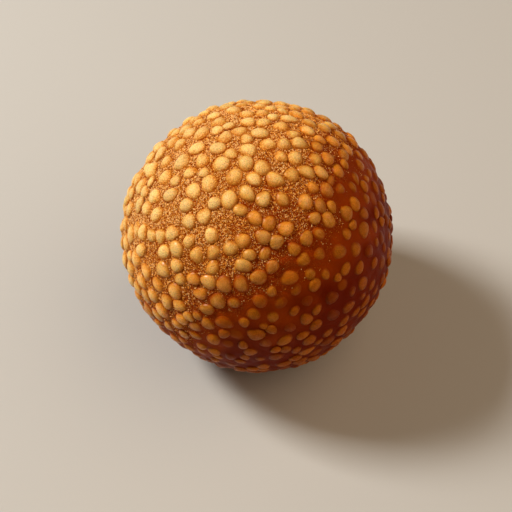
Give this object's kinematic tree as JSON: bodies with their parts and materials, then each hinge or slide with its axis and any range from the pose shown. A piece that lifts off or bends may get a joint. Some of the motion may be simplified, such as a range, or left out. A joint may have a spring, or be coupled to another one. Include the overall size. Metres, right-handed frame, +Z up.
{
  "type": "sesame ladoo",
  "caption": "Hand-rolled ball of jaggery and whole sesame seeds, golden and sandy on one side, dark and syrupy on the other",
  "frame": {"origin": "middle of the small flat spot that the ball rests on", "axes": "+Z up out of the surface it rests on; -Y towards the viewer of the picture, +X to the viewer's right"},
  "size_m": [0.0482, 0.0482, 0.0472],
  "materials": {
    "sesame_jaggery": "amber jaggery with lighter sesame seeds, softly glossy"
  },
  "bodies": {
    "root": {"ladoo": "sesame_jaggery"}
  },
  "joints": []
}
